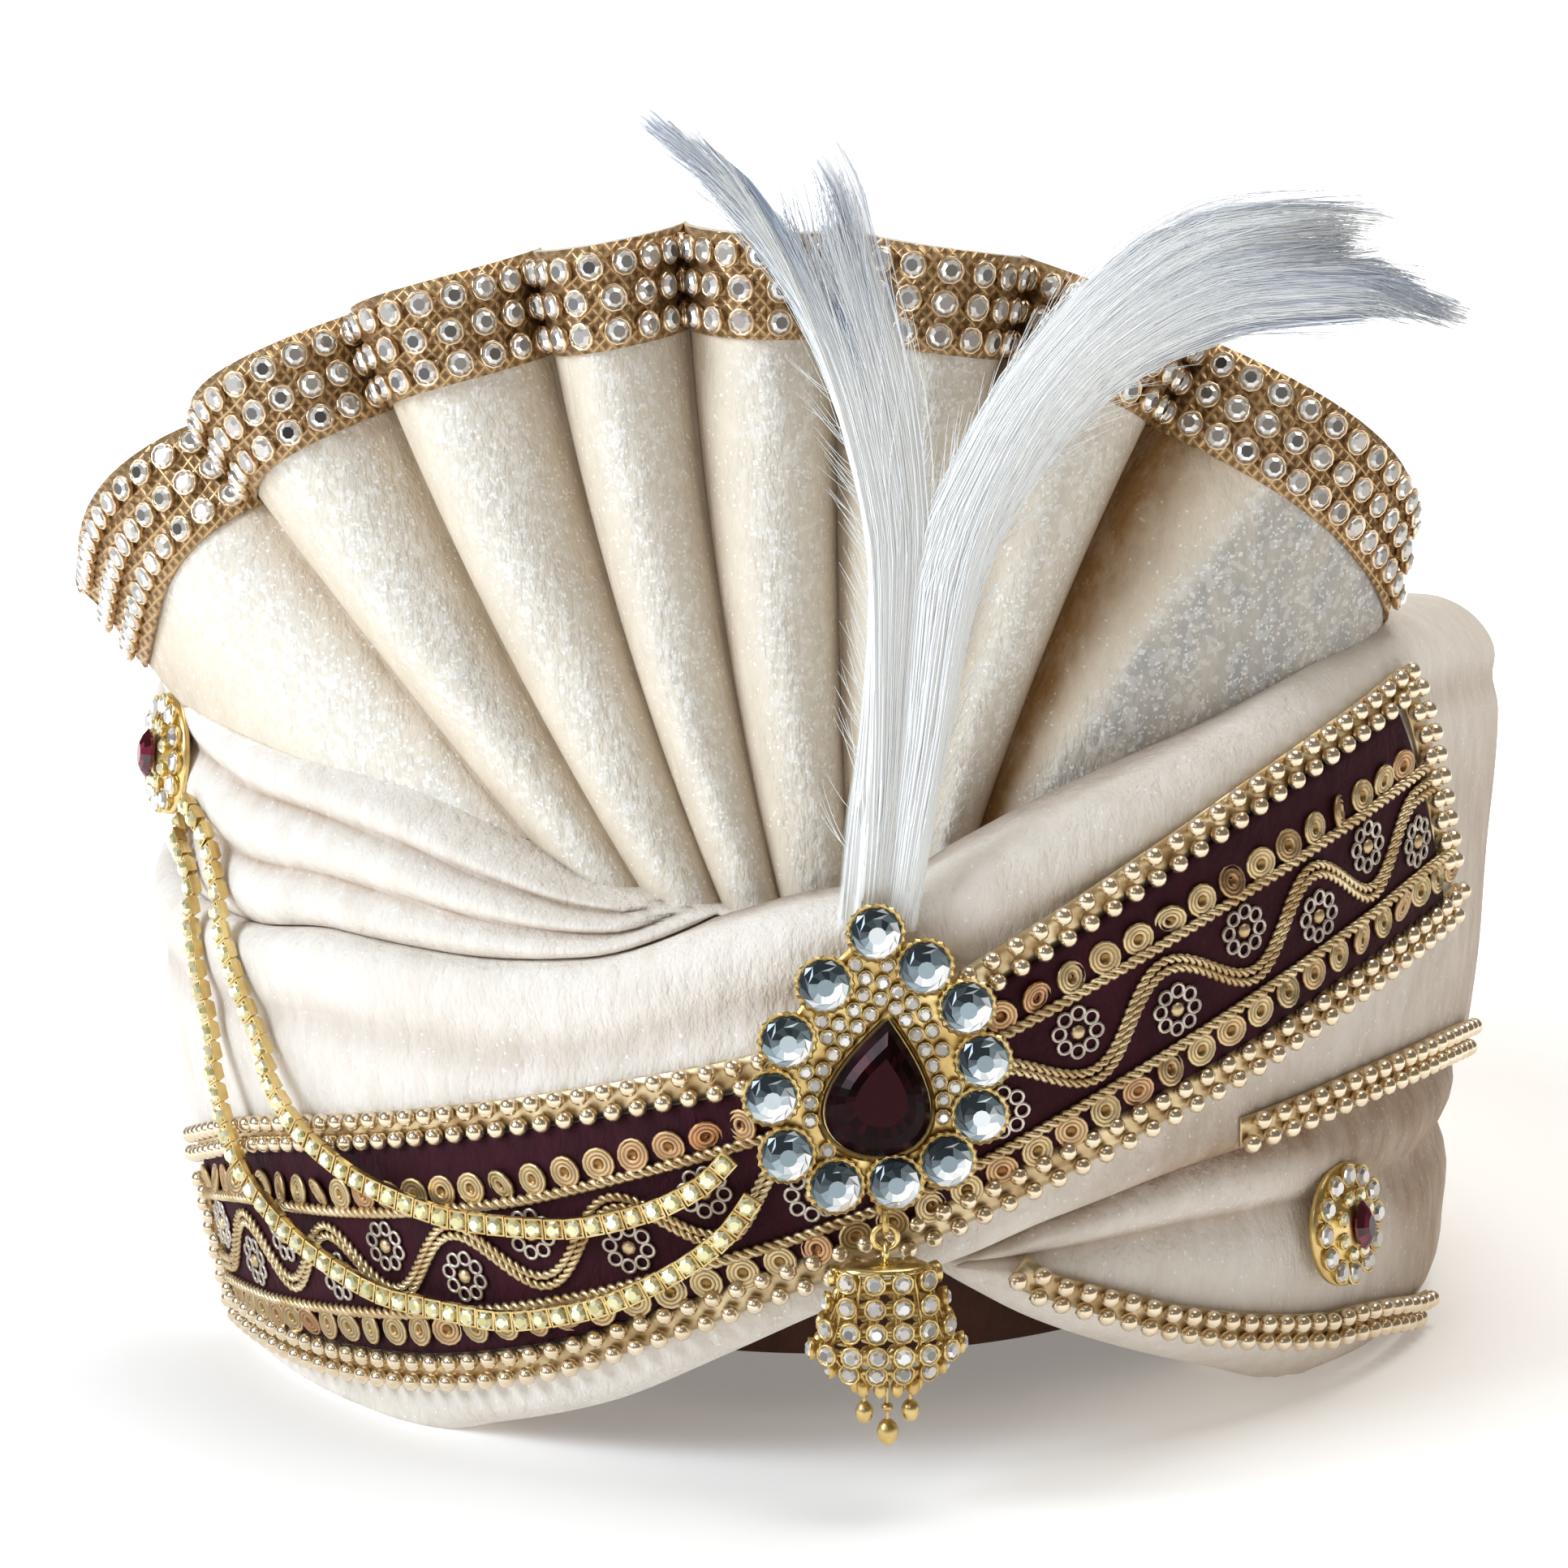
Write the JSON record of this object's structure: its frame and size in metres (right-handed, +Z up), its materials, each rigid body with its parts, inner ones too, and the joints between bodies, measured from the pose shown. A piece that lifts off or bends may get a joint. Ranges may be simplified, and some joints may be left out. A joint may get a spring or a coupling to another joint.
{
  "type": "tied turban pagri",
  "caption": "Stiffened wedding turban of crossed padded wraps with a pleated lace-edged fan, brocade band, stone brooch with hanging drop, swagged chains and two plumes.",
  "frame": {"origin": "centre of the head opening, in the plane of the rim that the turban stands on", "axes": "+Z up along the head opening, -Y towards the front with the brooch, +X to the viewer's right from the front"},
  "size_m": [0.2621, 0.3022, 0.2382],
  "materials": {
    "cream_velvet": "short soft pile, matt",
    "ivory_tissue": "thin shimmering tissue",
    "rose_gold_lace": "metallic net lace",
    "brown_lining": "matt",
    "maroon_velvet": "short pile",
    "pearl_gold_bead": "pearl gloss",
    "gold_metal": "polished plating",
    "garnet_glass": "foil-backed, polished",
    "crystal_glass": "foil-backed, polished",
    "white_feather": "soft barbs"
  },
  "bodies": {
    "turban": {"under_wrap": "cream_velvet", "over_wrap": "cream_velvet", "crown": "cream_velvet", "fan": "ivory_tissue", "fan_lace": "rose_gold_lace", "inner_band": "brown_lining", "brocade_band": "maroon_velvet", "bead_trim_upper": "pearl_gold_bead", "bead_trim_lower": "pearl_gold_bead", "bead_trim_right_upper": "pearl_gold_bead", "bead_trim_right_lower": "pearl_gold_bead", "brooch_setting": "gold_metal", "chain_outer": "gold_metal", "chain_inner": "gold_metal", "side_brooch_left": "gold_metal", "side_brooch_right": "gold_metal", "teardrop_stone": "garnet_glass", "side_stone_left": "garnet_glass", "side_stone_right": "garnet_glass", "round_stone_01": "crystal_glass", "round_stone_02": "crystal_glass", "round_stone_03": "crystal_glass", "round_stone_04": "crystal_glass", "round_stone_05": "crystal_glass", "round_stone_06": "crystal_glass", "round_stone_07": "crystal_glass", "round_stone_08": "crystal_glass", "round_stone_09": "crystal_glass", "round_stone_10": "crystal_glass", "round_stone_11": "crystal_glass", "round_stone_12": "crystal_glass", "feather_left": "white_feather", "feather_right": "white_feather"},
    "ring": {"jump_ring": "gold_metal"},
    "drop": {"drop": "gold_metal"}
  },
  "joints": [
    {"name": "ring_swing", "type": "hinge", "parent": "turban", "child": "ring", "pos_m": [-0.004, -0.15125, 0.0485], "axis": [0, 1, 0], "range_deg": [-25, 25]},
    {"name": "drop_swing", "type": "hinge", "parent": "ring", "child": "drop", "pos_m": [-0.004, -0.15125, 0.04572], "axis": [-1, 0, 0], "range_deg": [-6, 45]}
  ]
}
